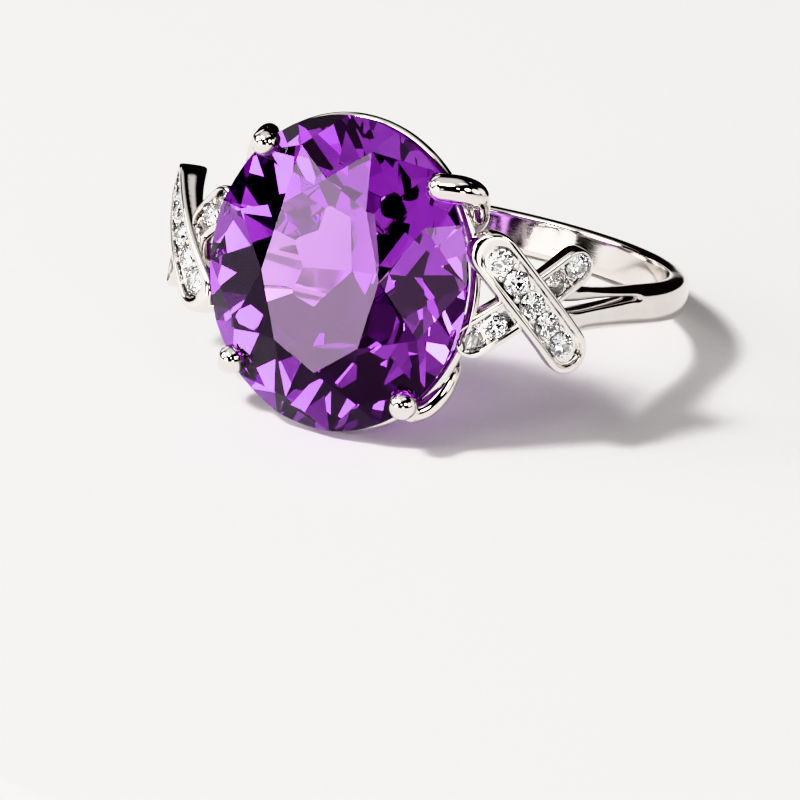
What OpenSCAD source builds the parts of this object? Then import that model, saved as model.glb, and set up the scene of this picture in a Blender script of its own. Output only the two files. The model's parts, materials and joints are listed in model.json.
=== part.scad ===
// Cocktail ring: oval violet stone in a four-prong head, on crossed, stone-set shoulders.
// The ring lies on its side: the stone faces -Y, and the lower edge of the head and the
// back of the band rest on the plane z = 0.
// Every piece is drawn in the ring's own axes, and lay_down() puts it where it lies:
// x across the finger, y along the finger, z out through the stone, 0 at the finger's centre.

/* [Band] */
// Inside diameter of the band (17.3 is US size 7)
finger_d = 17.3; // [17.2:0.1:17.4]
// Wall thickness of the band
band_t = 1.0; // [0.9:0.05:1.1]
// Width of the band along the finger
band_w = 1.8; // [1.6:0.1:2.0]
// Part of the circle that the band covers before it splits, in degrees
band_arc = 204; // [200:1:210]
// Width of the slot between the two arms, where they reach the shoulder
slot_w = 0.36; // [0.3:0.02:0.4]

/* [Centre stone] */
// Stone size across the finger
stone_w = 12; // [11.8:0.1:12.2]
// Stone size along the finger
stone_l = 13.5; // [13.3:0.1:13.7]
// Height of the crown above the girdle
crown_h = 1.8; // [1.6:0.1:2.0]
// Thickness of the girdle
girdle_t = 0.3; // [0.2:0.05:0.4]
// Depth of the pavilion below the girdle
pavilion_h = 4.35; // [4.2:0.05:4.4]
// Height of the girdle above the finger's centre
girdle_z = 13.4; // [13.35:0.05:13.5]
// Turn of the stone in its setting, in degrees
stone_turn = 8; // [0:1:10]
// Table width
table_w = 5.5; // [5:0.1:6]
// Table length
table_l = 8.3; // [8:0.1:8.6]

/* [Head] */
// Wire diameter of the rail that follows the girdle
rail_d = 0.45; // [0.4:0.05:0.5]
// Drop of that rail below the middle of the girdle
rail_drop = 0.8; // [0.7:0.05:0.9]
// Wire diameter of the base rail under the stone
base_rail_d = 0.7; // [0.6:0.05:0.8]
// Diameter of the ball at each prong's tip
prong_ball_d = 1.35; // [1.2:0.05:1.4]

/* [Shoulders] */
// Slope of each bar, in degrees
bar_slope = 42; // [40:1:44]
// Width of the bar that crosses on top
over_w = 2.05; // [1.95:0.05:2.1]
// Width of the bar that passes beneath
under_w = 1.7; // [1.65:0.05:1.75]
// Thickness of both bars
bar_t = 0.95; // [0.85:0.05:1.05]
// Drop from the top of the over bar to the top of the under bar
bar_drop = 0.45; // [0.4:0.05:0.5]
// Width of the rim along each edge of a bar
bar_rim = 0.27; // [0.25:0.01:0.28]
// Depth of the channel that holds the small stones
channel_h = 0.28; // [0.24:0.02:0.32]
// Diameter of a small stone
accent_d = 1.1; // [1.0:0.05:1.15]

/* [Hidden] */
$fn = 48;
SIDES = ["right", "left"];
OVER_PLACES = [-2.4, -1.2, 0, 1.18, 2.36];
UNDER_PLACES = [-3.0, -1.8, 1.45, 2.65];

METAL = [0.80, 0.79, 0.77];
VIOLET = [0.42, 0.10, 0.62];
CLEAR = [0.93, 0.95, 0.97];

// band: its section is flat against the finger and rounded outside, as [radius, y]
finger_r = finger_d / 2;
band_r = finger_r + band_t;
half_w = band_w / 2;
edge = 0.1;
round_r = 0.24;
band_section = [
    [finger_r, edge - half_w], [finger_r + edge, -half_w], [band_r - 1.5 * round_r, -half_w],
    [band_r - 0.5 * round_r, 0.6 * round_r - half_w], [band_r, 1.8 * round_r - half_w],
    [band_r, half_w - 1.8 * round_r], [band_r - 0.5 * round_r, half_w - 0.6 * round_r],
    [band_r - 1.5 * round_r, half_w], [finger_r + edge, half_w], [finger_r, half_w - edge]
];
band_start = -90 + (360 - band_arc) / 2;

// head: both rails are oval hoops, and the upper one is turned with the stone
rail_a = stone_w / 2;
rail_b = stone_l / 2 - 0.15;
rail_z = girdle_z - rail_drop;
base_rail_a = 3.7;
base_rail_b = 3.4;
base_rail_z = finger_r + 1.05;

// resting tilt: the plane that touches both the girdle rail and the band's back edge
rail_foot = [-norm([rail_a * sin(stone_turn), rail_b * cos(stone_turn)]), rail_z];
band_foot = [-half_w, 1.5 * round_r - band_r];
foot_step = band_foot - rail_foot;
rest_tilt = atan2(foot_step.x, -foot_step.y) + asin(rail_d / 2 / norm(foot_step));
function height_lying(p) = p.x * cos(rest_tilt) + p.y * sin(rest_tilt);
function depth_lying(p) = p.x * sin(rest_tilt) - p.y * cos(rest_tilt);
lowest = height_lying(band_foot);
front = depth_lying([-table_l / 2 * cos(stone_turn), girdle_z + girdle_t / 2 + crown_h]);
back = max([for (p = band_section) depth_lying([p.y, -p.x])]);

// shoulder surface: a cylinder along y on each side, which the bars curve around
shoulder_x = 3.13;
shoulder_z = 6.21;
shoulder_r = 7.67;
cross_angle = 46.3;
cross_y = 0.5;
over_reach = [3.75, 3.7];
under_reach = [3.75, 3.4];

// right riser, from inside the band to under the bars: its thickness seen along the finger,
// as [x, z], and its two arms seen from the side, as [y, z]
riser_foot = 0.8;
riser_top = 10.7;
riser_side = [[9.25, riser_foot], [9.4, 2.4], [9.3, 4.5], [9.26, 6], [9.3, 7.5], [9.4, 9], [9.2, 9.9],
    [8.6, riser_top], [7.8, riser_top], [8.3, 9.7], [8.42, 9], [8.34, 7.5], [8.3, 6], [8.36, 4.5],
    [8.52, 2.4], [8.85, riser_foot]];
arm_w = half_w - 0.03;
slot_y = 0.45;
slot_z = 2.4;
upper_arm = [[slot_y, slot_z], [slot_y + slot_w / 2, 6], [slot_y + slot_w / 2, riser_top],
    [arm_w + 0.4, riser_top], [arm_w + 0.15, 7], [arm_w + 0.02, 4], [arm_w, riser_foot], [slot_y, riser_foot]];
lower_arm = [[slot_y, slot_z], [slot_y, riser_foot], [-arm_w, riser_foot], [0.02 - arm_w, 4],
    [0.1 - arm_w, 7], [0.1 - arm_w, riser_top], [slot_y - slot_w / 2, riser_top], [slot_y - slot_w / 2, 6]];

// routes of the round wires on the right side, as [x, y, z, radius]
hook_prong = [[3.0, 2.35, 9.75, 0.34], [4.4, 2.85, 11.0, 0.36], [5.3, 3.4, 12.15, 0.38],
    [5.5, 4.1, 12.75, 0.42], [5.45, 4.55, 13.25, 0.46], [5.0, 4.78, 13.8, 0.5],
    [4.2, 4.76, 13.95, 0.52]];
claw_prong = [[3.0, 2.35, 9.75, 0.34], [4.0, 3.6, 11.2, 0.36], [4.45, 4.7, 12.5, 0.38],
    [4.45, 5.0, 13.1, 0.42], [4.2, 4.95, 13.6, 0.46], [3.9, 4.69, 13.9, 0.5]];
lower_prong = [[3.0, -2.35, 9.75, 0.34], [4.5, -2.6, 11.0, 0.36], [5.25, -3.0, 11.8, 0.4],
    [5.3, -3.9, 12.3, 0.42], [4.9, -4.75, 12.75, 0.44], [4.45, -5.05, 13.25, 0.46],
    [4.25, -4.73, 13.9, 0.5]];

// moves a piece from the ring's axes to where it lies
module lay_down() {
    translate([0, -(front + back) / 2, -lowest]) rotate([90 - rest_tilt, 0, 0]) children();
}

// the left side is the right side turned half a turn about the stone's axis
module on_side(side) {
    rotate([0, 0, side == "left" ? 180 : 0]) children();
}

// origin on the shoulder cylinder's axis, z out through the crossing, x down towards the band
module on_shoulder(side) {
    on_side(side) translate([shoulder_x, cross_y, shoulder_z]) rotate([0, 90 - cross_angle, 0]) children();
}

function unit(v) = v / norm(v);
function place(p) = [p[0], p[1], p[2]];

// smooth curve through hand-set points
function spline(a, b, c, d, t) =
    0.5 * (2 * b + (c - a) * t + (2 * a - 5 * b + 4 * c - d) * t * t + (3 * b - a - 3 * c + d) * t * t * t);
function smooth(p, steps = 3) = [
    for (k = [0:len(p) - 2], j = [0:steps - 1])
        spline(p[max(k - 1, 0)], p[k], p[k + 1], p[min(k + 2, len(p) - 1)], j / steps),
    p[len(p) - 1]
];

// round wire along a route, closed at both ends; side_way is never in line with the wire
module wire(route, side_way, sides = 12) {
    last = len(route) - 1;
    points = [for (i = [0:last])
        let (t = unit(place(route[min(i + 1, last)]) - place(route[max(i - 1, 0)])))
        let (u = unit(cross(side_way, t)), v = cross(t, u))
        for (j = [0:sides - 1])
            place(route[i]) + route[i][3] * (cos(360 * j / sides) * u + sin(360 * j / sides) * v)];
    skin = [for (i = [0:last - 1], j = [0:sides - 1])
        let (k = (j + 1) % sides, here = i * sides, next = here + sides)
        each [[here + j, next + j, here + k], [here + k, next + j, next + k]]];
    near_end = [for (j = [0:sides - 1]) j];
    far_end = [for (j = [sides - 1:-1:0]) last * sides + j];
    polyhedron(points, concat(skin, [near_end, far_end]), convexity = 6);
}

// oval hoop of round wire, flat at height z
module hoop(a, b, z, d, steps = 60, sides = 10) {
    points = [for (i = [0:steps - 1])
        let (w = 360 * i / steps, out = unit([b * cos(w), a * sin(w), 0]))
        for (j = [0:sides - 1])
            [a * cos(w), b * sin(w), z] + d / 2 * (cos(360 * j / sides) * out + [0, 0, sin(360 * j / sides)])];
    skin = [for (i = [0:steps - 1], j = [0:sides - 1])
        let (k = (j + 1) % sides, here = i * sides, next = (i + 1) % steps * sides)
        each [[here + j, here + k, next + j], [here + k, next + k, next + j]]];
    polyhedron(points, skin, convexity = 4);
}

// oval brilliant cut with 8 mains, girdle plane at z = 0; the girdle itself is drawn finer
module oval_brilliant(girdle_steps = 5) {
    a = stone_w / 2;
    b = stone_l / 2;
    keel_r = 0.25;
    crown_z = girdle_t / 2 + crown_h;
    culet_z = -girdle_t / 2 - pavilion_h;
    rim_n = 16 * girdle_steps;
    table = [for (k = [0:7]) [table_w / 2 * cos(45 * k), table_l / 2 * sin(45 * k), crown_z]];
    star = [for (k = [0:7])
        let (w = 45 * k + 22.5, table_r = norm([table_w / stone_w * cos(w), table_l / stone_l * sin(w)]))
        let (star_r = (1 + table_r * cos(22.5)) / 2)
        [a * star_r * cos(w), b * star_r * sin(w),
            girdle_t / 2 + crown_h * (1 - star_r * cos(22.5)) / (1 - table_r)]];
    keel = [for (k = [0:7]) let (w = 45 * k + 22.5)
        [a * keel_r * cos(w), b * keel_r * sin(w), culet_z + pavilion_h * keel_r * cos(22.5)]];
    girdle = [for (z = [girdle_t / 2, -girdle_t / 2], k = [0:rim_n - 1]) let (w = 360 * k / rim_n)
        [a * cos(w), b * sin(w), z]];
    points = concat(table, star, keel, [[0, 0, culet_z]], girdle);
    culet = 24;
    table_face = [[for (k = [7:-1:0]) k]];
    mains = [for (k = [0:7])
        let (n = (k + 1) % 8, g = 25 + 2 * girdle_steps * k, h = 25 + 2 * girdle_steps * n)
        each [[k, n, 8 + k], [k, 8 + k, g], [8 + k, n, h],
            [16 + k, culet, g + rim_n], [16 + k, h + rim_n, culet]]];
    rim_faces = [for (k = [0:rim_n - 1])
        let (n = (k + 1) % rim_n, eighth = floor(k / (2 * girdle_steps)), g = 25 + k, h = 25 + n)
        each [[8 + eighth, h, g], [16 + eighth, g + rim_n, h + rim_n],
            [g, h, g + rim_n], [h, h + rim_n, g + rim_n]]];
    polyhedron(points, concat(table_face, mains, rim_faces), convexity = 2);
}

// outline of a bar with round ends, from its inner end at -x to its outer end at +x
module bar_outline(w, reach, trim = 0) {
    for (end = [trim + w / 2 - reach[0], reach[1] - trim - w / 2]) translate([end, 0]) circle(d = w);
    translate([trim + w / 2 - reach[0], -w / 2]) square([reach[0] + reach[1] - 2 * trim - w, w]);
}

// the part of a cylinder wall around the shoulder's axis that an outline cuts out
module curved_plate(top_r, bottom_r, slope) {
    intersection() {
        rotate([90, 0, 0]) difference() {
            cylinder(r = top_r, h = 14, center = true);
            cylinder(r = bottom_r, h = 15, center = true);
        }
        rotate([0, 0, slope]) linear_extrude(height = shoulder_r + 1) children();
    }
}

module over_blank() {
    curved_plate(shoulder_r, shoulder_r - bar_t, -bar_slope) bar_outline(over_w, over_reach);
}

module under_blank() {
    curved_plate(shoulder_r - bar_drop, shoulder_r - bar_drop - bar_t, bar_slope)
        bar_outline(under_w, under_reach);
}

// puts a small stone or a bead on a bar's curve: along and across are in the bar's plan
module on_bar(top_r, slope, along, across = 0) {
    x = along * cos(slope) - across * sin(slope);
    y = along * sin(slope) + across * cos(slope);
    translate([0, y, 0]) rotate([0, asin(x / top_r), 0]) translate([0, 0, top_r - channel_h]) children();
}

// round brilliant reduced to its cones, girdle just above the channel's floor
module small_stone() {
    r = accent_d / 2;
    rotate_extrude() polygon([[0, -0.4], [r, 0.06], [r, 0.1], [0.55 * r, 0.24], [0, 0.24]]);
}

// channel, seats for the stones, and the grains raised between them
module set_bar(top_r, slope, w, reach, places) {
    channel_w = w - 2 * bar_rim;
    difference() {
        curved_plate(top_r, top_r - bar_t, slope) bar_outline(w, reach);
        curved_plate(top_r + 1, top_r - channel_h, slope) bar_outline(channel_w, reach, bar_rim + 0.1);
        for (along = places) on_bar(top_r, slope, along) small_stone();
    }
    for (i = [0:len(places) - 2]) if (places[i + 1] - places[i] < 2 * accent_d)
        for (across = [-0.4, 0.4])
            on_bar(top_r, slope, (places[i] + places[i + 1]) / 2, across) translate([0, 0, 0.04]) sphere(r = 0.14);
}

// one side's riser: two arms with the slot between them, cut to fit under the bars
module riser(side) {
    difference() {
        on_side(side) intersection() {
            translate([0, 2, 0]) rotate([90, 0, 0]) linear_extrude(height = 4) polygon(riser_side);
            rotate([90, 0, 90]) linear_extrude(height = 12) union() {
                polygon(upper_arm);
                polygon(lower_arm);
            }
        }
        on_shoulder(side) {
            over_blank();
            under_blank();
        }
    }
}

module shank() {
    color(METAL) lay_down() {
        rotate([-90, 0, 0]) rotate([0, 0, band_start])
            rotate_extrude(angle = band_arc) polygon(band_section);
        for (side = SIDES) riser(side);
    }
}

module girdle_rail() {
    color(METAL) lay_down() rotate([0, 0, stone_turn]) hoop(rail_a, rail_b, rail_z, rail_d);
}

module base_rail() {
    color(METAL) lay_down() hoop(base_rail_a, base_rail_b, base_rail_z, base_rail_d);
}

module centre_stone() {
    color(VIOLET) lay_down() translate([0, 0, girdle_z]) rotate([0, 0, stone_turn]) oval_brilliant();
}

// a bent wire with a ball tip, cut back where it seats on the stone's edge
module prong(side, route) {
    tip = route[len(route) - 1];
    color(METAL) lay_down() difference() {
        on_side(side) {
            wire(smooth(route), [0.3, -sign(tip.y), 1]);
            translate(place(tip)) hull() sphere(d = prong_ball_d, $fn = 20);
        }
        translate([0, 0, girdle_z]) rotate([0, 0, stone_turn]) oval_brilliant();
    }
}

module over_bar(side) {
    color(METAL) lay_down() on_shoulder(side)
        set_bar(shoulder_r, -bar_slope, over_w, over_reach, OVER_PLACES);
}

module under_bar(side) {
    color(METAL) lay_down() on_shoulder(side) difference() {
        set_bar(shoulder_r - bar_drop, bar_slope, under_w, under_reach, UNDER_PLACES);
        over_blank();
    }
}

module over_stone(side, i) {
    color(CLEAR) lay_down() on_shoulder(side)
        on_bar(shoulder_r, -bar_slope, OVER_PLACES[i - 1]) small_stone();
}

module under_stone(side, i) {
    color(CLEAR) lay_down() on_shoulder(side)
        on_bar(shoulder_r - bar_drop, bar_slope, UNDER_PLACES[i - 1]) small_stone();
}

shank();
base_rail();
girdle_rail();
centre_stone();
for (side = SIDES) {
    prong(side, side == "right" ? hook_prong : claw_prong);
    prong(side, lower_prong);
    over_bar(side);
    under_bar(side);
    for (i = [1:len(OVER_PLACES)])
        over_stone(side, i);
    for (i = [1:len(UNDER_PLACES)])
        under_stone(side, i);
}
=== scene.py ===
from math import asin, cos, pi, radians, sin, sqrt, tau

import bmesh
import bpy
from mathutils import Matrix, Vector
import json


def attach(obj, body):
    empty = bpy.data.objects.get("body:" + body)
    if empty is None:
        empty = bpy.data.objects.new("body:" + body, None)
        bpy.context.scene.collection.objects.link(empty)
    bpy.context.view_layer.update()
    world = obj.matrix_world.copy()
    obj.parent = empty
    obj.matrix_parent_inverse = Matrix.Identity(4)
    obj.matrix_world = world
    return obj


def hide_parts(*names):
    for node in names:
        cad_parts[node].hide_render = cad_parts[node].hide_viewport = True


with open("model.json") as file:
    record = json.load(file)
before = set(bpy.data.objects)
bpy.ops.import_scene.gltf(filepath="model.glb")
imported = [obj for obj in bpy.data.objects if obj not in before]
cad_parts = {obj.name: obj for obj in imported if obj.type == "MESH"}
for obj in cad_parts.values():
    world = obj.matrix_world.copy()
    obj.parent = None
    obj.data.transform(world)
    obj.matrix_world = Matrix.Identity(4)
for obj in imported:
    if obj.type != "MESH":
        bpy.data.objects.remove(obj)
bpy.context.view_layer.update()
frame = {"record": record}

# ---------------------------------------------------------------- the ring's own axes
# Pieces are drawn in millimetres: x across the finger, y along it, z out through the
# stone, 0 at the finger's centre. RING carries them to where the ring lies, in metres.
MM = 0.001
hole = next(m for m in frame["record"]["mounts"] if m["name"] == "finger_hole")
CENTRE = Vector(hole["pos_m"])
ACROSS = Vector((1, 0, 0))
ALONG = Vector(hole["axis"]).normalized()
OUT = ACROSS.cross(ALONG)
RING = Matrix.Translation(CENTRE) @ Matrix((ACROSS, ALONG, OUT)).transposed().to_4x4() @ Matrix.Scale(MM, 4)
HALF_TURN = Matrix.Rotation(pi, 4, "Z")
# the left side of the ring is the right side turned half round
SIDE_TURN = {"right": Matrix.Identity(4), "left": HALF_TURN}

# sizes in mm; _A is half a width and _B half a length, _R a radius, _D a diameter, _H a height
FINGER_R = 8.65
BAND_T = 1.0
HALF_W = 0.9
EDGE_ROUND = 0.15
STONE_A = 6.0
STONE_B = 6.75
GIRDLE_Z = 13.4
GIRDLE_T = 0.3
CROWN_H = 1.8
PAVILION_H = 4.35
PAVILION_TIP_H = 1.5
TABLE_A = 2.75
TABLE_B = 4.15
STONE_TURN = radians(8)
RAIL_D = 0.45
RAIL_A = 6.0
RAIL_B = 6.6
RAIL_Z = 12.6
BASE_RAIL_D = 0.7
BASE_RAIL_A = 3.7
BASE_RAIL_B = 3.4
BASE_RAIL_Z = 9.7
SHOULDER = Vector((3.13, 0.5, 6.21))
SHOULDER_R = 7.67
SHOULDER_TILT = pi / 2 - radians(46.3)
BAR_SLOPE = radians(42)
BAR_T = 0.95
BAR_DROP = 0.45
BAR_RIM = 0.34
CHANNEL_H = 0.28
OVER_W = 2.05
UNDER_W = 1.7
OVER_REACH = (3.75, 3.7)
UNDER_REACH = (3.75, 3.4)
OVER_PLACES = (-2.4, -1.2, 0, 1.18, 2.36)
UNDER_PLACES = (-3.0, -1.8, 1.45, 2.65)
ACCENT_R = 0.55
ACCENT_PROUD = 0.08
GRAIN_R = 0.15
GRAIN_ACROSS = 0.42
SLOT_Y = 0.45


# ---------------------------------------------------------------- camera
def look(azimuth, elevation, roll, target, distance, lens):
    """A camera seen from azimuth and elevation, tipped by roll, in degrees."""
    az, el = radians(azimuth), radians(elevation)
    back = Vector((sin(az) * cos(el), -cos(az) * cos(el), sin(el)))
    right = Vector((cos(az), sin(az), 0))
    up = back.cross(right)
    turn = Matrix((right, up, back)).transposed() @ Matrix.Rotation(radians(roll), 3, "Z")
    data = bpy.data.cameras.new("camera")
    data.lens = lens
    data.sensor_width = 36
    data.clip_start = 0.01
    data.clip_end = 20
    camera = bpy.data.objects.new("camera", data)
    camera.matrix_world = Matrix.Translation(target + back * distance) @ turn.to_4x4()
    bpy.context.collection.objects.link(camera)
    return camera


aim = CENTRE + Vector((0.624, -7.139, -4.243)) * MM
bpy.context.scene.camera = look(24.94, 23.04, 4.65, aim, 0.81, 850)


# ---------------------------------------------------------------- shapes
def loft(rings, closed=False):
    """Skins rings of points with quads, with quad strips over the two ends."""
    n = len(rings[0])
    verts = [p for ring in rings for p in ring]
    faces = []
    last = len(rings) if closed else len(rings) - 1
    for i in range(last):
        a, b = i * n, (i + 1) % len(rings) * n
        faces += [(a + j, a + (j + 1) % n, b + (j + 1) % n, b + j) for j in range(n)]
    if not closed:
        end = (len(rings) - 1) * n
        for j in range(n // 2 - 1):
            faces.append((n - 1 - j, n - 2 - j, j + 1, j))
            faces.append((end + j, end + j + 1, end + n - 2 - j, end + n - 1 - j))
    return verts, faces


def join(*shapes):
    """Puts several skins into one piece."""
    verts, faces = [], []
    for more_verts, more_faces in shapes:
        start = len(verts)
        verts += list(more_verts)
        faces += [tuple(start + i for i in face) for face in more_faces]
    return verts, faces


def smooth(route, steps):
    """A smooth curve through given points (x, y, z, radius)."""
    points = [Vector(p) for p in route]
    out = []
    for k in range(len(points) - 1):
        a, b, c = points[max(k - 1, 0)], points[k], points[k + 1]
        d = points[min(k + 2, len(points) - 1)]
        for j in range(steps):
            t = j / steps
            out.append(0.5 * (2 * b + (c - a) * t + (2 * a - 5 * b + 4 * c - d) * t * t
                              + (3 * b - a - 3 * c + d) * t * t * t))
    return out + [points[-1]]


def rod(route, steps=6, sides=28):
    """A round wire along a route, with its thickness set point by point and a domed far end."""
    path = smooth(route, steps)
    spots = [p.xyz for p in path]
    radii = [p.w for p in path]
    last = len(path) - 1
    ways = [(spots[min(i + 1, last)] - spots[max(i - 1, 0)]).normalized() for i in range(last + 1)]
    for degrees in (20, 40, 58, 74, 86):
        angle = radians(degrees)
        spots.append(path[-1].xyz + ways[last] * radii[last] * sin(angle))
        radii.append(path[-1].w * cos(angle))
        ways.append(ways[last])
    side_way = ways[0].orthogonal().normalized()
    rings = []
    for spot, radius, way in zip(spots, radii, ways):
        side_way = (side_way - way * side_way.dot(way)).normalized()
        other = way.cross(side_way)
        rings.append([spot + radius * (cos(tau * j / sides) * side_way + sin(tau * j / sides) * other)
                      for j in range(sides)])
    return loft(rings)


def hoop(a, b, z, d, turn=0.0, steps=180, sides=18):
    """An oval hoop of round wire."""
    rings = []
    for i in range(steps):
        w = tau * i / steps
        out = Vector((b * cos(w), a * sin(w), 0)).normalized()
        middle = Vector((a * cos(w), b * sin(w), z))
        rings.append([middle + d / 2 * (cos(tau * j / sides) * out + Vector((0, 0, sin(tau * j / sides))))
                      for j in range(sides)])
    verts, faces = loft(rings, closed=True)
    spin = Matrix.Rotation(turn, 3, "Z")
    return [spin @ v for v in verts], faces


def cut(bm, point, normal):
    """Grinds one flat facet: everything beyond the plane goes."""
    geom = bm.verts[:] + bm.edges[:] + bm.faces[:]
    made = bmesh.ops.bisect_plane(bm, geom=geom, dist=1e-5, plane_co=point,
                                  plane_no=normal, clear_outer=True)
    edges = [e for e in made["geom_cut"] if isinstance(e, bmesh.types.BMEdge)]
    if edges:
        bmesh.ops.edgeloop_fill(bm, edges=edges)


def facet(bm, a, b, c):
    """Grinds the facet through three points, keeping the side where the stone's middle is."""
    normal = (b - a).cross(c - a).normalized()
    if normal.dot(a) < 0:
        normal = -normal
    cut(bm, a, normal)


def brilliant(a, b, table_a, table_b, crown_h, girdle_t, pavilion_h, inner_h=0.0, mains=8, rim=96,
              star=0.52, keel=0.2):
    """A brilliant cut on an oval: table, stars, mains and halves above, mains and halves below.

    star and keel are how far the stars and the lower halves run, as shares of the crown and of the
    way out from the point. With inner_h, the lower mains are steeper and a flatter tier of that
    height finishes the point."""
    step = tau / mains
    half = girdle_t / 2

    def rim_point(w, z):
        return Vector((a * cos(w), b * sin(w), z))

    def rim_way(w):
        return Vector((-a * sin(w), b * cos(w), 0))

    bm = bmesh.new()
    loop = [bm.verts.new(rim_point(tau * (k + 0.5) / rim, -half - pavilion_h)) for k in range(rim)]
    base = bm.faces.new(loop)
    grown = bmesh.ops.extrude_face_region(bm, geom=[base])
    for v in grown["geom"]:
        if isinstance(v, bmesh.types.BMVert):
            v.co.z = half + crown_h
    bmesh.ops.recalc_face_normals(bm, faces=bm.faces[:])
    top = half + crown_h
    corners = [Vector((table_a * cos(k * step), table_b * sin(k * step), top)) for k in range(mains)]
    culet = Vector((0, 0, -half - pavilion_h))
    steep_h = pavilion_h + 0.6 * inner_h
    steep_culet = Vector((0, 0, -half - steep_h))
    for k in range(mains):
        w = k * step
        mid = w + step / 2
        here, after = corners[k], corners[(k + 1) % mains]
        edge, edge_after = rim_point(w, half), rim_point(w + step, half)
        mid_edge = rim_point(mid, half)
        facet(bm, edge, edge + rim_way(w), here)
        # the ridge between this main and the next, found where both planes meet
        n1 = rim_way(w).cross(here - edge)
        n2 = rim_way(w + step).cross(after - edge_after)
        ridge = n1.cross(n2)
        if ridge.z < 0:
            ridge = -ridge
        met = Vector((n1.dot(edge), n2.dot(edge_after), half))
        outer = Matrix((n1, n2, Vector((0, 0, 1)))).inverted() @ met
        star_tip = outer + ridge * (crown_h * star / ridge.z)
        facet(bm, here, after, star_tip)
        facet(bm, edge, mid_edge, star_tip)
        facet(bm, mid_edge, edge_after, star_tip)
        low, low_after, low_mid = rim_point(w, -half), rim_point(w + step, -half), rim_point(mid, -half)
        facet(bm, low, low + rim_way(w), steep_culet)
        corner = rim_point(mid, 0) / cos(step / 2)
        keel_tip = Vector((corner.x * keel, corner.y * keel, -half - steep_h * (1 - keel)))
        facet(bm, low, low_mid, keel_tip)
        facet(bm, low_mid, low_after, keel_tip)
        if inner_h:
            rise = Vector((a * cos(mid), b * sin(mid), pavilion_h - inner_h))
            facet(bm, culet, culet + rise, culet + rim_way(mid))
    bmesh.ops.remove_doubles(bm, verts=bm.verts[:], dist=2e-4)
    bmesh.ops.recalc_face_normals(bm, faces=bm.faces[:])
    verts = [v.co.copy() for v in bm.verts]
    faces = [tuple(v.index for v in f.verts) for f in bm.faces]
    bm.free()
    return verts, faces


# ---------------------------------------------------------------- shoulders
def shoulder_point(x, y, z):
    """From the shoulder's axes (z out through the crossing, x down towards the band) to the ring's."""
    return SHOULDER + Matrix.Rotation(SHOULDER_TILT, 3, "Y") @ Vector((x, y, z))


def on_bar(top_r, slope, along, across, drop):
    """A point of a bar: along and across its plan, and drop below its curved top."""
    x = along * cos(slope) - across * sin(slope)
    y = along * sin(slope) + across * cos(slope)
    return shoulder_point(x, y, sqrt((top_r - drop) ** 2 - x * x))


def stadium(width, reach, inset, turns=14, runs=18):
    """A bar's outline drawn in by inset, as (along, across), with no point on its middle line."""
    r = width / 2 - inset
    left, right = width / 2 - reach[0], reach[1] - width / 2
    arc = [-pi / 2 + pi * (k + 0.5) / turns for k in range(turns)]
    run = [(k + 0.5) / runs for k in range(runs)]
    out = [(right + r * cos(w), r * sin(w)) for w in arc if w > 0]
    out += [(right + (left - right) * t, r) for t in run]
    out += [(left - r * cos(w), -r * sin(w)) for w in arc]
    out += [(left + (right - left) * t, -r) for t in run]
    return out + [(right + r * cos(w), r * sin(w)) for w in arc if w < 0]


def bar_shape(top_r, slope, width, reach, end_rim):
    """A bar with soft outer edges, a polished rim and a sunk channel.

    The channel stops short of the inner end by end_rim, and the walls grow deeper towards the band,
    where they meet the arms."""
    # (drawn in by, below the top) from the underside round the outer edge to the channel's floor
    wall_top = 0.3
    profile = [(0.42, BAR_T), (0.24, BAR_T), (0.06, BAR_T - 0.06), (0, BAR_T - 0.25), (0, wall_top),
               (0.015, 0.12), (0.06, 0.03), (0.14, 0), (BAR_RIM - 0.07, 0), (BAR_RIM - 0.02, 0.02),
               (BAR_RIM, 0.08), (BAR_RIM + 0.01, CHANNEL_H - 0.06), (BAR_RIM + 0.03, CHANNEL_H),
               (BAR_RIM + 0.2, CHANNEL_H)]
    rings = []
    for inset, drop in profile:
        inner_end = reach[0] - (end_rim if inset >= BAR_RIM - 0.03 else 0)
        ring = []
        for u, v in stadium(width, (inner_end, reach[1]), inset):
            deeper = 1 + 0.5 * max(0, u / reach[1]) ** 1.5 if drop > wall_top else 1
            ring.append(on_bar(top_r, slope, u, v, drop * deeper))
        rings.append(ring)
    return loft(rings)


def seat(top_r, slope, along, across=0.0):
    """Axes of a stone or grain set on a channel's floor, z out from the floor."""
    x = along * cos(slope) - across * sin(slope)
    y = along * sin(slope) + across * cos(slope)
    r = top_r - CHANNEL_H
    tilt = Matrix.Rotation(SHOULDER_TILT, 4, "Y")
    lean = Matrix.Rotation(asin(x / top_r), 4, "Y")
    foot = Matrix.Translation(SHOULDER) @ tilt @ Matrix.Translation((0, y, 0))
    return foot @ lean @ Matrix.Translation((0, 0, r))


# ---------------------------------------------------------------- band
def radial(angle):
    """The wall of the round band at an angle, as its inner and outer points (x, z)."""
    way = Vector((cos(radians(angle)), sin(radians(angle))))
    return way * FINGER_R, way * (FINGER_R + BAND_T)


def slice_of(wall, ys, rise, foot):
    """One ring of points round a slice: its outer points along y, then its inner points back again."""
    inner, outer = Vector(wall[0]), Vector(wall[1])
    way = (outer - inner).normalized()
    outside = [inner + way * r for r in rise]
    inside = [inner + way * r for r in foot]
    ring = [Vector((p.x, y, p.y)) for p, y in zip(outside, ys)]
    return ring + [Vector((p.x, y, p.y)) for p, y in zip(reversed(inside), reversed(ys))]


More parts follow.
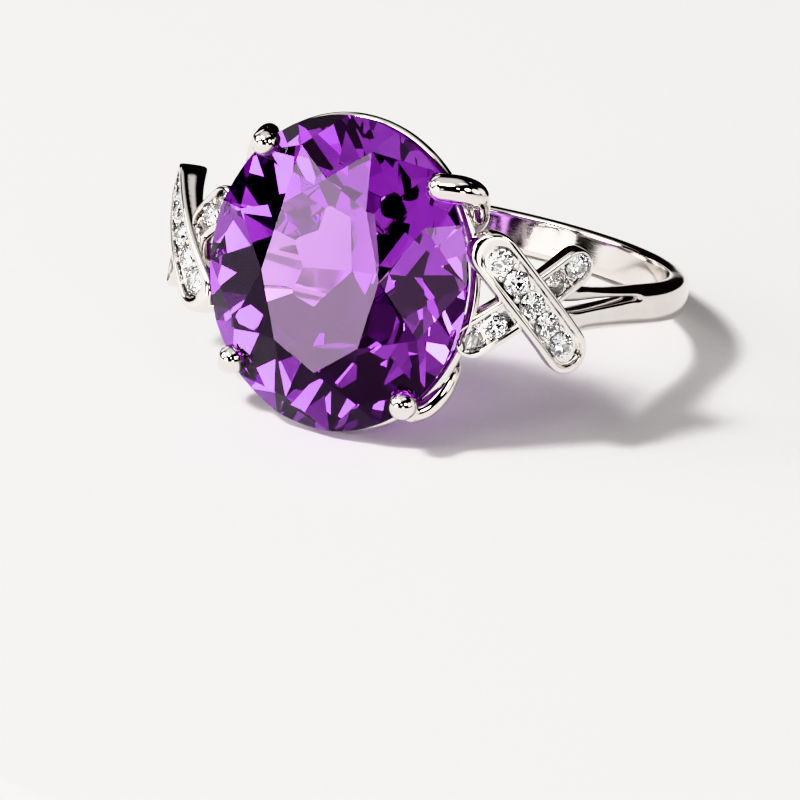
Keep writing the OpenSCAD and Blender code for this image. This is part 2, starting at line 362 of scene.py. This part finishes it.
def shank_shape():
    """A round-backed band whose ends rise on each side as a wide and a narrow arm.

    It is skinned from slices whose rise and foot are the heights of the outer and the inner points
    above the finger's side of the wall. Column split, at the slot, is where the arms part."""
    edge = HALF_W - EDGE_ROUND
    columns = (-HALF_W, -edge, -SLOT_Y, -0.15, 0.15, SLOT_Y, edge, HALF_W)
    split = 5
    t = BAND_T
    full_rise = (t - 0.36, t - 0.12, t - 0.01, t + 0.02, t + 0.02, t - 0.01, t - 0.12, t - 0.36)
    full_foot = (0.09, 0, 0, 0, 0, 0, 0, 0.09)
    walls = [radial(a) for a in range(-90, 10, 9)]
    walls += [((8.47, 1.95), (9.46, 2.1)), ((8.42, 2.6), (9.41, 2.7))]
    rings = [slice_of(wall, columns, full_rise, full_foot) for wall in walls]
    # the arms: wall, slot width, the wide arm's outer edge, the narrow arm's outer edge
    arm_steps = [
        (((8.38, 3.2), (9.38, 3.3)), 0.06, -0.9, 0.91),
        (((8.35, 4.1), (9.35, 4.15)), 0.14, -0.88, 0.94),
        (((8.32, 5.3), (9.32, 5.3)), 0.22, -0.85, 1.0),
        (((8.31, 6.6), (9.31, 6.6)), 0.28, -0.82, 1.1),
        (((8.34, 7.8), (9.34, 7.8)), 0.31, -0.8, 1.22),
        (((8.4, 9.0), (9.4, 9.0)), 0.33, -0.8, 1.34),
        (((8.2, 9.75), (9.15, 9.95)), 0.34, -0.8, 1.42),
        (((7.75, 10.5), (8.5, 10.8)), 0.34, -0.8, 1.46),
        (((7.15, 11.2), (7.75, 11.6)), 0.34, -0.8, 1.46),
    ]
    wide, narrow = [], []
    for step, (wall, slot, low, high) in enumerate(arm_steps):
        t = (Vector(wall[1]) - Vector(wall[0])).length
        # the slot's edges are eased in over the first steps, so that the fork has no kink
        soft = min(1, 0.3 * (step + 1))
        near, far = SLOT_Y - slot / 2, SLOT_Y + slot / 2
        ys = (low, low + EDGE_ROUND, -SLOT_Y, -0.15, near - 0.08, near)
        rise = (t - 0.36, t - 0.12, t - 0.01, t + 0.02, t + 0.02 - 0.02 * soft, t - 0.01 - 0.09 * soft)
        wide.append(slice_of(wall, ys, rise, (0.09, 0, 0, 0, 0, 0.08 * soft)))
        ys = (far, high - EDGE_ROUND, high)
        rise = (t - 0.01 - 0.09 * soft, t - 0.12, t - 0.36)
        narrow.append(slice_of(wall, ys, rise, (0.08 * soft, 0, 0.09)))

    n = len(columns)
    verts, faces = [], []

    def add(ring):
        start = len(verts)
        verts.extend(ring)
        return list(range(start, start + len(ring)))

    def skin(a, b):
        for j in range(len(a)):
            k = (j + 1) % len(a)
            faces.append((a[j], a[k], b[k], b[j]))

    def close(ring):
        for j in range(len(ring) // 2 - 1):
            faces.append((ring[j], ring[j + 1], ring[-2 - j], ring[-1 - j]))

    def half(turn):
        ids = [add([turn @ p for p in ring]) for ring in rings]
        for a, b in zip(ids, ids[1:]):
            skin(a, b)
        fork = ids[-1]
        for arm, picked in ((wide, fork[:split + 1] + fork[2 * n - 1 - split:]),
                            (narrow, fork[split:2 * n - split])):
            last = picked
            for ring in arm:
                new = add([turn @ p for p in ring])
                skin(last, new)
                last = new
            close(last)

    half(Matrix.Identity(3))
    half(HALF_TURN.to_3x3())
    return verts, faces


# ---------------------------------------------------------------- small shapes
def turned(profile, axes, sides=20):
    """A small round shape from (radius, height) pairs, placed on its own axes."""
    return loft([[axes @ Vector((r * cos(tau * (j + 0.5) / sides), r * sin(tau * (j + 0.5) / sides), z))
                  for j in range(sides)] for r, z in profile])


def moved(shape, axes):
    """A shape carried to other axes."""
    verts, faces = shape
    return [axes @ Vector(v) for v in verts], faces


# outlines of a bead of metal and of the cup cut for a small stone, as (radius, height)
GRAIN = ((0.13, -0.08), (GRAIN_R, 0.03), (0.13, 0.1), (0.085, 0.15), (0.03, 0.175))
CUP = ((0.02, -0.52), (0.1, -0.46), (ACCENT_R + 0.03, 0.03), (ACCENT_R + 0.03, 0.6))


def object_from(name, shape):
    """A mesh object with its faces turned outwards, still in millimetres on the ring's axes."""
    mesh = bpy.data.meshes.new(name)
    mesh.from_pydata([tuple(v) for v in shape[0]], [], shape[1])
    bm = bmesh.new()
    bm.from_mesh(mesh)
    bmesh.ops.remove_doubles(bm, verts=bm.verts[:], dist=1e-5)
    bmesh.ops.recalc_face_normals(bm, faces=bm.faces[:])
    bm.to_mesh(mesh)
    bm.free()
    obj = bpy.data.objects.new(name, mesh)
    bpy.context.collection.objects.link(obj)
    return obj


def settle(obj):
    """Applies an object's modifiers to its mesh."""
    graph = bpy.context.evaluated_depsgraph_get()
    mesh = bpy.data.meshes.new_from_object(obj.evaluated_get(graph), depsgraph=graph)
    obj.modifiers.clear()
    obj.data = mesh


def refine(obj, levels):
    """Rounds an object by dividing its faces."""
    mod = obj.modifiers.new("refine", "SUBSURF")
    mod.levels = levels
    mod.render_levels = levels
    settle(obj)


def carve(obj, shape):
    """Cuts a closed shape out of an object."""
    tool = object_from("cutter", shape)
    mod = obj.modifiers.new("carve", "BOOLEAN")
    mod.operation = "DIFFERENCE"
    mod.solver = "EXACT"
    mod.object = tool
    mod.use_self = True
    settle(obj)
    bpy.data.objects.remove(tool, do_unlink=True)


def place(obj, node_name, finish, side="right", crease=None):
    """Carries a finished shape to where the ring lies and lets it stand for its CAD node."""
    obj.data.transform(RING @ SIDE_TURN[side])
    if crease is None:
        obj.data.shade_flat()
    else:
        obj.data.shade_smooth()
        obj.data.set_sharp_from_angle(angle=radians(crease))
    obj.data.materials.clear()
    obj.data.materials.append(finish)
    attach(obj, "root")
    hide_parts(node_name)


# ---------------------------------------------------------------- materials
def linear(hex_colour):
    """An sRGB hex colour as linear RGBA."""
    parts = [int(hex_colour[i:i + 2], 16) / 255 for i in (1, 3, 5)]
    return tuple(c / 12.92 if c <= 0.04045 else ((c + 0.055) / 1.055) ** 2.4 for c in parts) + (1,)


def add_node(tree, kind, inputs=None, **settings):
    """Adds one node: settings are its own properties, inputs are values or other nodes' outputs."""
    new = tree.nodes.new(kind)
    for key, value in settings.items():
        setattr(new, key, value)
    for key, value in (inputs or {}).items():
        if isinstance(value, bpy.types.NodeSocket):
            tree.links.new(value, new.inputs[key])
        else:
            new.inputs[key].default_value = value
    return new


def blank_material(name):
    """A new material with only its output, and the surface's own coordinates in millimetres."""
    material = bpy.data.materials.new(name)
    material.use_nodes = True
    tree = material.node_tree
    tree.nodes.clear()
    output = add_node(tree, "ShaderNodeOutputMaterial")
    coords = add_node(tree, "ShaderNodeTexCoord")
    in_mm = add_node(tree, "ShaderNodeVectorMath", {0: coords.outputs["Object"], 1: (1 / MM,) * 3},
                     operation="MULTIPLY")
    return material, tree, output, in_mm.outputs[0]


def rhodium_plate(name, tint_a, tint_b, rough_low, rough_high, ripple, hairline):
    """Polished silver under rhodium plate: near-white mirror, faint haze and buffing ripple.

    ripple and hairline are the bump heights in mm of the buffed waves and of the fine wear marks."""
    material, tree, output, at = blank_material(name)
    haze = add_node(tree, "ShaderNodeTexNoise", {"Vector": at, "Scale": 0.9, "Detail": 3.0,
                                                 "Roughness": 0.6})
    wave = add_node(tree, "ShaderNodeTexNoise", {"Vector": at, "Scale": 0.7, "Detail": 1.0})
    # wear marks are about 0.05 mm apart in life and drawn twice as coarse, so that they show
    drawn_out = add_node(tree, "ShaderNodeVectorMath", {0: at, 1: (1.5, 9.0, 9.0)}, operation="MULTIPLY")
    marks = add_node(tree, "ShaderNodeTexNoise", {"Vector": drawn_out.outputs[0], "Scale": 1.2,
                                                  "Detail": 4.0, "Roughness": 0.7})
    tint = add_node(tree, "ShaderNodeMix", {0: haze.outputs["Fac"], 6: linear(tint_a), 7: linear(tint_b)},
                    data_type="RGBA")
    rough = add_node(tree, "ShaderNodeMapRange", {"Value": marks.outputs["Fac"], "From Min": 0.3,
                                                  "From Max": 0.75, "To Min": rough_low,
                                                  "To Max": rough_high})
    soft = add_node(tree, "ShaderNodeBump", {"Height": wave.outputs["Fac"], "Strength": 1.0,
                                             "Distance": ripple * MM})
    fine = add_node(tree, "ShaderNodeBump", {"Height": marks.outputs["Fac"], "Strength": 1.0,
                                             "Distance": hairline * MM, "Normal": soft.outputs["Normal"]})
    shader = add_node(tree, "ShaderNodeBsdfPrincipled", {"Base Color": tint.outputs[2], "Metallic": 1.0,
                                                         "Roughness": rough.outputs[0],
                                                         "Normal": fine.outputs["Normal"]})
    tree.links.new(shader.outputs[0], output.inputs["Surface"])
    return material


def cut_amethyst():
    """Faceted and polished amethyst: crisp violet glassiness, darker where light travels further in it.

    The faint bands of growth zoning give lighter and redder violet patches. Real amethyst has an IOR
    of about 1.55. It is raised here, with the surface's own mirror toned down, so that the facets
    below flash as a well-cut stone's do and fewer of them show the floor behind."""
    material, tree, output, at = blank_material("cut_amethyst")
    zones = add_node(tree, "ShaderNodeTexWave", {"Vector": at, "Scale": 0.12, "Distortion": 3.0,
                                                 "Detail": 2.0, "Detail Scale": 0.6})
    tint = add_node(tree, "ShaderNodeMix", {0: zones.outputs["Fac"], 6: linear("#EFDCF9"),
                                               7: linear("#E4C8F7")}, data_type="RGBA")
    polish = add_node(tree, "ShaderNodeTexNoise", {"Vector": at, "Scale": 6.0, "Detail": 2.0})
    rough = add_node(tree, "ShaderNodeMapRange", {"Value": polish.outputs["Fac"], "To Min": 0.0,
                                                  "To Max": 0.012})
    shader = add_node(tree, "ShaderNodeBsdfPrincipled", {"Base Color": tint.outputs[2], "IOR": 1.87,
                                                         "Specular Tint": linear("#9C84A4"),
                                                         "Roughness": rough.outputs[0],
                                                         "Transmission Weight": 1.0})
    depth = add_node(tree, "ShaderNodeVolumeAbsorption", {"Color": linear("#C63EDA"), "Density": 190.0})
    tree.links.new(shader.outputs[0], output.inputs["Surface"])
    tree.links.new(depth.outputs[0], output.inputs["Volume"])
    return material


def cut_zircon():
    """Cubic zirconia, cut and polished as small brilliants: white fire with grey facets between."""
    material, tree, output, at = blank_material("cut_colourless_zircon")
    breath = add_node(tree, "ShaderNodeTexNoise", {"Vector": at, "Scale": 2.5, "Detail": 1.0})
    tint = add_node(tree, "ShaderNodeMix", {0: breath.outputs["Fac"], 6: linear("#FFFFFF"),
                                               7: linear("#F4F6FA")}, data_type="RGBA")
    rough = add_node(tree, "ShaderNodeMapRange", {"Value": breath.outputs["Fac"], "To Min": 0.0,
                                                  "To Max": 0.02})
    shader = add_node(tree, "ShaderNodeBsdfPrincipled", {"Base Color": tint.outputs[2], "IOR": 2.1,
                                                         "Roughness": rough.outputs[0],
                                                         "Transmission Weight": 1.0})
    tree.links.new(shader.outputs[0], output.inputs["Surface"])
    return material


def matt_card():
    """Matt white card for the floor: an even pale field with a barely visible tooth."""
    material, tree, output, at = blank_material("matt_white_card")
    tooth = add_node(tree, "ShaderNodeTexNoise", {"Vector": at, "Scale": 3.0, "Detail": 4.0})
    tint = add_node(tree, "ShaderNodeMix", {0: tooth.outputs["Fac"], 6: linear("#F4F4F3"),
                                               7: linear("#EEEDEC")}, data_type="RGBA")
    shader = add_node(tree, "ShaderNodeBsdfPrincipled", {"Base Color": tint.outputs[2], "Roughness": 0.7,
                                                         "Specular IOR Level": 0.05})
    tree.links.new(shader.outputs[0], output.inputs["Surface"])
    return material


def black_velvet():
    """Black velvet on the studio's flags: it gives polished metal its dark lines."""
    material, tree, output, at = blank_material("black_velvet")
    nap = add_node(tree, "ShaderNodeTexNoise", {"Vector": at, "Scale": 0.5})
    tint = add_node(tree, "ShaderNodeMix", {0: nap.outputs["Fac"], 6: linear("#101010"),
                                               7: linear("#1C1A1B")}, data_type="RGBA")
    shader = add_node(tree, "ShaderNodeBsdfPrincipled", {"Base Color": tint.outputs[2], "Roughness": 1.0,
                                                         "Specular IOR Level": 0.0})
    tree.links.new(shader.outputs[0], output.inputs["Surface"])
    return material


POLISHED = rhodium_plate("polished_rhodium_plate", "#E8E4E0", "#DCD6D2", 0.03, 0.09, 0.006, 0.0006)
BAND_FINISH = rhodium_plate("buffed_rhodium_band", "#E6E2DE", "#D9D4D0", 0.05, 0.12, 0.006, 0.0010)
SET_WORK = rhodium_plate("bright_cut_rhodium", "#EEEBE8", "#DDD8D4", 0.04, 0.14, 0.004, 0.0016)
AMETHYST = cut_amethyst()
ZIRCON = cut_zircon()

# ---------------------------------------------------------------- the ring
shank = object_from("split_arm_shank", shank_shape())
refine(shank, 2)
place(shank, "shank", BAND_FINISH, crease=60)

rail = object_from("girdle_rail_wire", hoop(RAIL_A, RAIL_B, RAIL_Z, RAIL_D, STONE_TURN))
place(rail, "girdle_rail", POLISHED, crease=60)
base = object_from("base_rail_wire", hoop(BASE_RAIL_A, BASE_RAIL_B, BASE_RAIL_Z, BASE_RAIL_D))
place(base, "base_rail", POLISHED, crease=60)

in_head = Matrix.Translation((0, 0, GIRDLE_Z)) @ Matrix.Rotation(STONE_TURN, 4, "Z")
oval = brilliant(STONE_A, STONE_B, TABLE_A, TABLE_B, CROWN_H, GIRDLE_T, PAVILION_H, inner_h=PAVILION_TIP_H,
                 keel=0.36)
place(object_from("oval_amethyst", moved(oval, in_head)), "centre_stone", AMETHYST)

# prong wires as they run on the right side, as (x, y, z, radius)
HOOK_PRONG = [(3.0, 2.35, 9.75, 0.34), (4.4, 2.85, 11.0, 0.36), (5.3, 3.4, 12.1, 0.36),
              (5.55, 3.9, 12.55, 0.36), (5.58, 4.4, 12.95, 0.42), (5.45, 4.72, 13.35, 0.56),
              (4.95, 4.84, 13.78, 0.62), (4.1, 4.74, 13.95, 0.62)]
CLAW_PRONG = [(3.0, 2.35, 9.75, 0.34), (4.0, 3.6, 11.2, 0.36), (4.45, 4.7, 12.5, 0.38),
              (4.45, 5.0, 13.1, 0.42), (4.2, 4.95, 13.6, 0.44), (3.9, 4.69, 13.9, 0.44)]
LOWER_PRONG = [(3.0, -2.35, 9.75, 0.34), (4.5, -2.6, 11.0, 0.36), (5.25, -3.0, 11.8, 0.4),
               (5.3, -3.9, 12.3, 0.42), (4.9, -4.75, 12.75, 0.42), (4.45, -5.05, 13.25, 0.42),
               (4.25, -4.73, 13.9, 0.42)]
BALL_R = 0.64
BALL_STEPS = (6, 18, 32, 46, 60, 75, 90, 105, 120, 134, 148, 162, 174)
BALL = [(BALL_R * sin(radians(a)), -BALL_R * cos(radians(a))) for a in BALL_STEPS]
# side, place, route and whether a ball is melted on the tip
PRONGS = (("right", "upper", HOOK_PRONG, False), ("left", "upper", CLAW_PRONG, True),
          ("right", "lower", LOWER_PRONG, True), ("left", "lower", LOWER_PRONG, True))
TINY = brilliant(ACCENT_R, ACCENT_R, 0.31, 0.31, 0.16, 0.04, 0.46, rim=48)

# the prongs are notched where they seat on the stone, with a hair's gap
SEAT_EASE = 1.003
to_girdle = Matrix.Translation((0, 0, GIRDLE_Z))
ease = to_girdle @ Matrix.Scale(SEAT_EASE, 4) @ Matrix.Translation((0, 0, -GIRDLE_Z))
for side, name, route, ball in PRONGS:
    shape = rod(route)
    if ball:
        shape = join(shape, turned(BALL, Matrix.Translation(route[-1][:3]), 32))
    prong = object_from(f"{side}_{name}_prong_wire", shape)
    carve(prong, moved(oval, SIDE_TURN[side] @ ease @ in_head))
    place(prong, f"{side}_{name}_prong", POLISHED, side, crease=50)

for side in SIDE_TURN:
    over_r, under_r = SHOULDER_R, SHOULDER_R - BAR_DROP
    for name, top_r, slope, width, reach, end_rim, places in (
            ("over", over_r, -BAR_SLOPE, OVER_W, OVER_REACH, 0.32, OVER_PLACES),
            ("under", under_r, BAR_SLOPE, UNDER_W, UNDER_REACH, 0.0, UNDER_PLACES)):
        bar = object_from(f"{side}_{name}_bar_set", bar_shape(top_r, slope, width, reach, end_rim))
        refine(bar, 1)
        if name == "under":
            # room for the over bar, a little tight so that the two meet without a gap
            outline = stadium(OVER_W, OVER_REACH, 0.06)
            blank = [[on_bar(over_r, -BAR_SLOPE, u, v, drop) for u, v in outline]
                     for drop in (-0.3, BAR_T + 0.01)]
            carve(bar, loft(blank))
        seats = [seat(top_r, slope, along) for along in places]
        carve(bar, join(*[turned(CUP, axes, 32) for axes in seats]))
        grains = []
        for before, after in zip(places, places[1:]):
            side_by_side = after - before < 2.5 * ACCENT_R
            if side_by_side:
                grains += [turned(GRAIN, seat(top_r, slope, (before + after) / 2, across))
                           for across in (-GRAIN_ACROSS, GRAIN_ACROSS)]
        beads = object_from("beads", join(*grains))
        refine(beads, 1)
        whole = bmesh.new()
        whole.from_mesh(bar.data)
        whole.from_mesh(beads.data)
        whole.to_mesh(bar.data)
        whole.free()
        bpy.data.objects.remove(beads, do_unlink=True)
        place(bar, f"{side}_{name}_bar", SET_WORK, side, crease=35)
        for i, axes in enumerate(seats, 1):
            proud = axes @ Matrix.Translation((0, 0, ACCENT_PROUD))
            stone = object_from(f"{side}_{name}_zircon_{i}", moved(TINY, proud))
            place(stone, f"{side}_{name}_stone_{i}", ZIRCON, side)


# ---------------------------------------------------------------- studio
def panel(name, middle, facing, width, height, finish):
    """A flat card with its middle at a point, facing a point, in metres."""
    way = (Vector(facing) - Vector(middle)).normalized()
    turn = way.to_track_quat("Z", "Y").to_matrix().to_4x4()
    bm = bmesh.new()
    x, y = width / 2, height / 2
    bm.faces.new([bm.verts.new((px, py, 0)) for px, py in ((-x, -y), (x, -y), (x, y), (-x, y))])
    mesh = bpy.data.meshes.new(name)
    bm.to_mesh(mesh)
    bm.free()
    card = bpy.data.objects.new(name, mesh)
    card.matrix_world = Matrix.Translation(middle) @ turn
    card.data.materials.append(finish)
    bpy.context.collection.objects.link(card)
    return card


panel("floor", (0, 0, 0), (0, 0, 1), 4, 4, matt_card())

# a black card behind the ring that only polished faces and stones see
flag = panel("back_flag", (-0.008, 0.034, 0.021), (0, 0, 0.021), 0.12, 0.042, black_velvet())
flag.visible_camera = False
flag.visible_diffuse = False
flag.visible_shadow = False


def lamp(name, azimuth, elevation, distance, width, height, power):
    """A soft box that faces the ring from azimuth and elevation, in degrees."""
    az, el = radians(azimuth), radians(elevation)
    back = Vector((sin(az) * cos(el), -cos(az) * cos(el), sin(el)))
    data = bpy.data.lights.new(name, "AREA")
    data.shape = "RECTANGLE"
    data.size = width
    data.size_y = height
    data.energy = power
    light = bpy.data.objects.new(name, data)
    light.matrix_world = (Matrix.Translation(CENTRE + back * distance)
                          @ back.to_track_quat("Z", "Y").to_matrix().to_4x4())
    bpy.context.collection.objects.link(light)


lamp("key", -39, 49, 0.4, 0.07, 0.07, 1.55)
lamp("fill", 60, 70, 0.5, 0.25, 0.12, 0.09)

world = bpy.data.worlds.new("studio")
bpy.context.scene.world = world
world.use_nodes = True
sky = world.node_tree
sky.nodes.clear()
way = add_node(sky, "ShaderNodeTexCoord").outputs["Generated"]


def glow(toward, radius, soft, strength):
    """Light from a round soft box: its direction, its radius and soft edge in degrees, its strength."""
    near = add_node(sky, "ShaderNodeVectorMath", {0: way, 1: tuple(Vector(toward).normalized())},
                    operation="DOT_PRODUCT")
    inside = add_node(sky, "ShaderNodeMapRange", {"Value": near.outputs["Value"],
                                                  "From Min": cos(radians(radius + soft)),
                                                  "From Max": cos(radians(radius)), "To Max": strength},
                      interpolation_type="SMOOTHSTEP")
    return inside.outputs[0]


def added(values):
    """The sum of several lights."""
    total = values[0]
    for value in values[1:]:
        total = add_node(sky, "ShaderNodeMath", {0: total, 1: value}, operation="ADD").outputs[0]
    return total


# what polished metal and cut stones mirror: bright boxes with dark gaps between them
mirrored = added([
    glow((-0.25, -0.20, 0.95), 20, 20, 0.9),
    glow((-0.39, -0.92, 0.10), 11, 5, 12.0),
    glow((-0.85, -0.45, 0.40), 13, 3, 9.0),
    glow((-0.15, -0.72, 0.80), 8, 3, 9.0),
    glow((0.80, -0.55, 0.55), 8, 3, 9.0),
    glow((0.30, -0.95, 0.55), 4, 2, 5.0),
    glow((0.62, -0.95, 0.10), 7, 3, 3.0),
    glow((0.95, -0.05, 0.35), 12, 6, 1.6),
    glow((-0.70, -0.90, 0.75), 5, 2, 5.0),
    glow((-0.80, 0.40, 0.45), 16, 8, 1.4),
    glow((0.85, 0.50, 0.25), 14, 8, 1.2),
    glow((0.31, 0.47, 0.83), 2, 3, 0.9),
])
# what the matt floor gathers: an even veil from above
veil = glow((0, 0, 1), 40, 40, 0.25)
path = add_node(sky, "ShaderNodeLightPath")
strength = add_node(sky, "ShaderNodeMix", {0: path.outputs["Is Diffuse Ray"], 2: mirrored, 3: veil})
backdrop = add_node(sky, "ShaderNodeBackground", {"Color": linear("#FCFAF8"),
                                                  "Strength": strength.outputs[0]})
sky_out = add_node(sky, "ShaderNodeOutputWorld")
sky.links.new(backdrop.outputs[0], sky_out.inputs["Surface"])
bpy.context.scene.view_settings.view_transform = "Khronos PBR Neutral"
